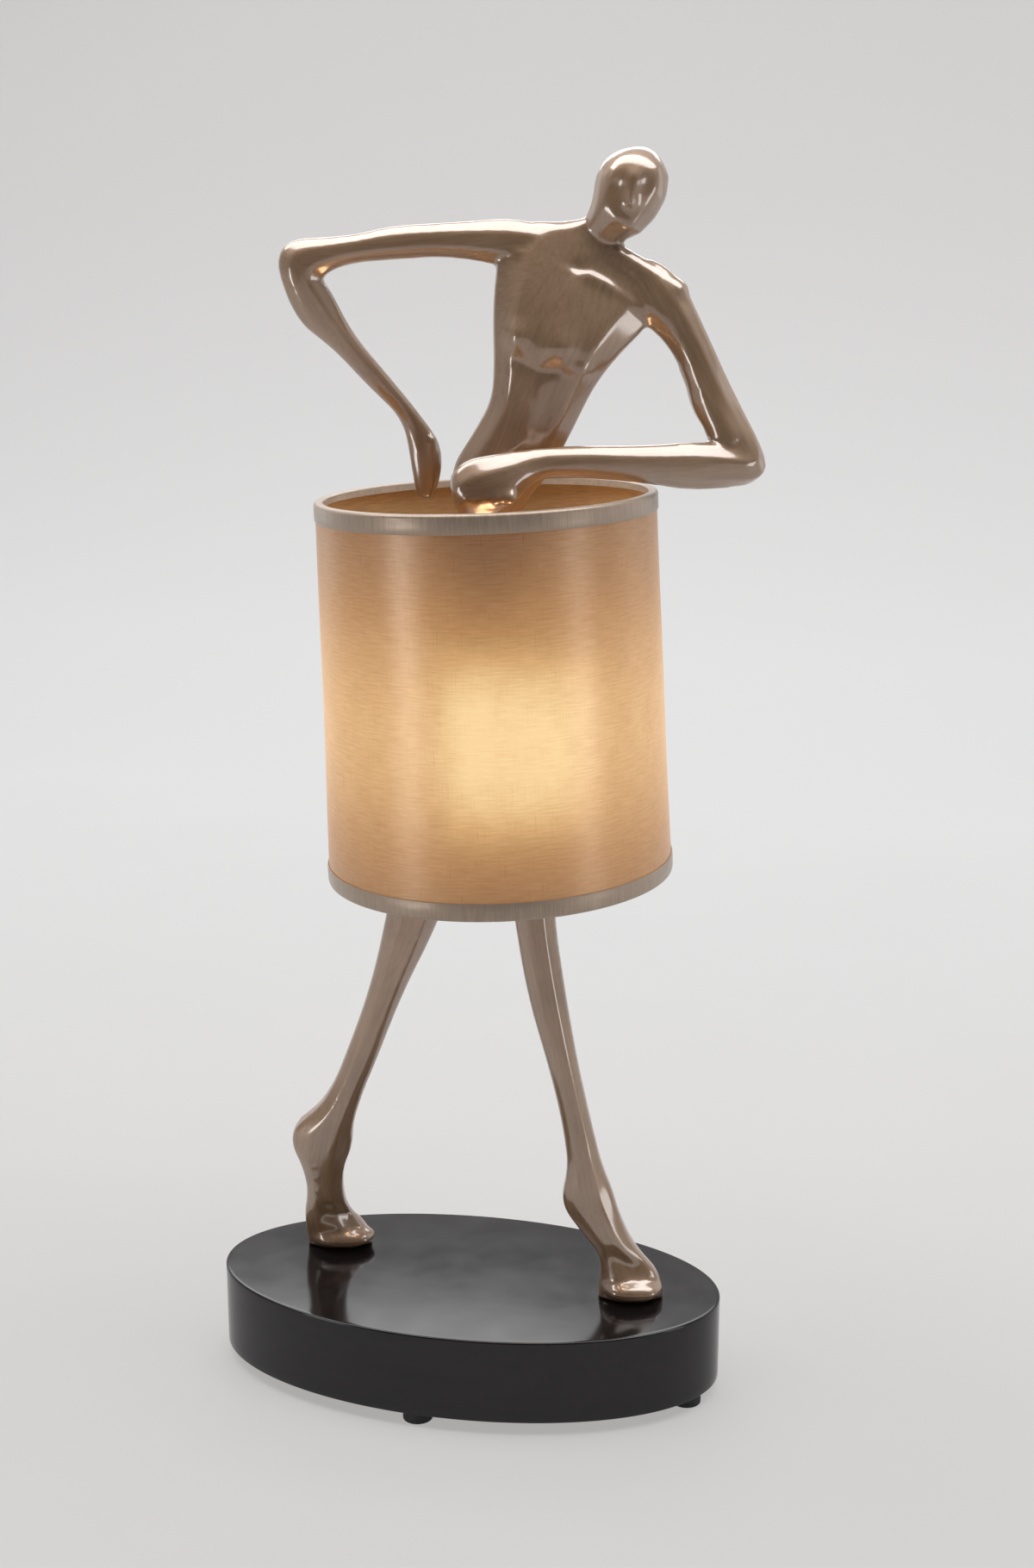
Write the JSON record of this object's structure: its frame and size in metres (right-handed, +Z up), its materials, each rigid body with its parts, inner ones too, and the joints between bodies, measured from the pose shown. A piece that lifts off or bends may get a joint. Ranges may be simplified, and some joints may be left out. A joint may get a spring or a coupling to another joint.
{
  "type": "table lamp",
  "caption": "Figural table lamp: a slender cast figure on an oval plinth, wearing a tapered fabric drum shade that hides its lamp holder.",
  "frame": {"origin": "on the floor under the middle of the oval plinth", "axes": "+X along the plinth's long axis to the right as seen from the front, +Y to the back, +Z up"},
  "size_m": [0.3596, 0.2257, 0.813],
  "materials": {
    "figure_bronze": "satin champagne bronze lacquer over cast metal, brushed along the limbs",
    "plinth_lacquer": "black gloss lacquer",
    "cover_board": "plain dark hardboard",
    "steel_screws": "zinc plated",
    "steel_fixings": "zinc plated",
    "foot_rubber": "matt black",
    "bushing_plastic": "matt black",
    "collar_brass": "plain turned",
    "bracket_metal": "as the figure",
    "socket_brass": "thin pressed sheet",
    "liner_card": "fibre card",
    "switch_plastic": "dark moulded",
    "bulb_metal": "plain",
    "bulb_frosted": "frosted white, lit",
    "shade_cloth": "thin woven cloth, lit from inside",
    "shade_trim": "champagne satin tape",
    "shade_wire": "pale painted wire"
  },
  "bodies": {
    "base": {"plinth": "plinth_lacquer", "bottom_cover": "cover_board", "cover_screws": "steel_screws", "rubber_feet": "foot_rubber", "cord_bushing": "bushing_plastic", "bushing_nut": "bushing_plastic", "leg_studs": "steel_fixings", "leg_washers": "steel_fixings", "leg_nuts": "steel_fixings", "right_leg": "figure_bronze", "left_leg": "figure_bronze", "pelvis": "figure_bronze", "hip_dowels": "steel_fixings", "centre_post": "steel_fixings", "seat_collar": "collar_brass", "socket_bracket": "bracket_metal", "bracket_screws": "steel_screws", "socket_nipple": "socket_brass", "socket_locknut": "socket_brass", "socket_cap": "socket_brass", "socket_shell": "socket_brass", "socket_liner": "liner_card", "switch_block": "switch_plastic", "socket_screw_shell": "socket_brass", "socket_contact": "socket_brass"},
    "upper_body": {"torso": "figure_bronze", "head": "figure_bronze", "right_arm": "figure_bronze", "left_arm": "figure_bronze", "torso_bush": "collar_brass", "grub_screw": "steel_screws"},
    "shade": {"shade_fabric": "shade_cloth", "shade_top_trim": "shade_trim", "shade_top_ring": "shade_wire", "shade_bottom_trim": "shade_trim", "shade_bottom_ring": "shade_wire", "shade_spider": "shade_wire"},
    "bulb": {"bulb_contact": "bulb_metal", "bulb_screw_base": "bulb_metal", "bulb_glass": "bulb_frosted"},
    "knob": {"switch_shaft": "socket_brass", "switch_knob": "switch_plastic"}
  },
  "joints": [
    {"name": "shade_turn", "type": "hinge", "parent": "base", "child": "shade", "pos_m": [0.01538, 0.00313, 0.5455], "axis": [-0.0359, -0.0073, 0.9993], "continuous": true},
    {"name": "upper_body_lift", "type": "slide", "parent": "base", "child": "upper_body", "axis": [-0.0359, -0.0073, 0.9993], "range_m": [0, 0.046]},
    {"name": "bulb_removal", "type": "slide", "parent": "base", "child": "bulb", "axis": [0, 0, 1], "range_m": [0, 0.027]},
    {"name": "knob_turn", "type": "hinge", "parent": "base", "child": "knob", "pos_m": [0.04372, -0.05438, 0.376], "axis": [-0.9799, -0.1994, 0], "continuous": true}
  ]
}
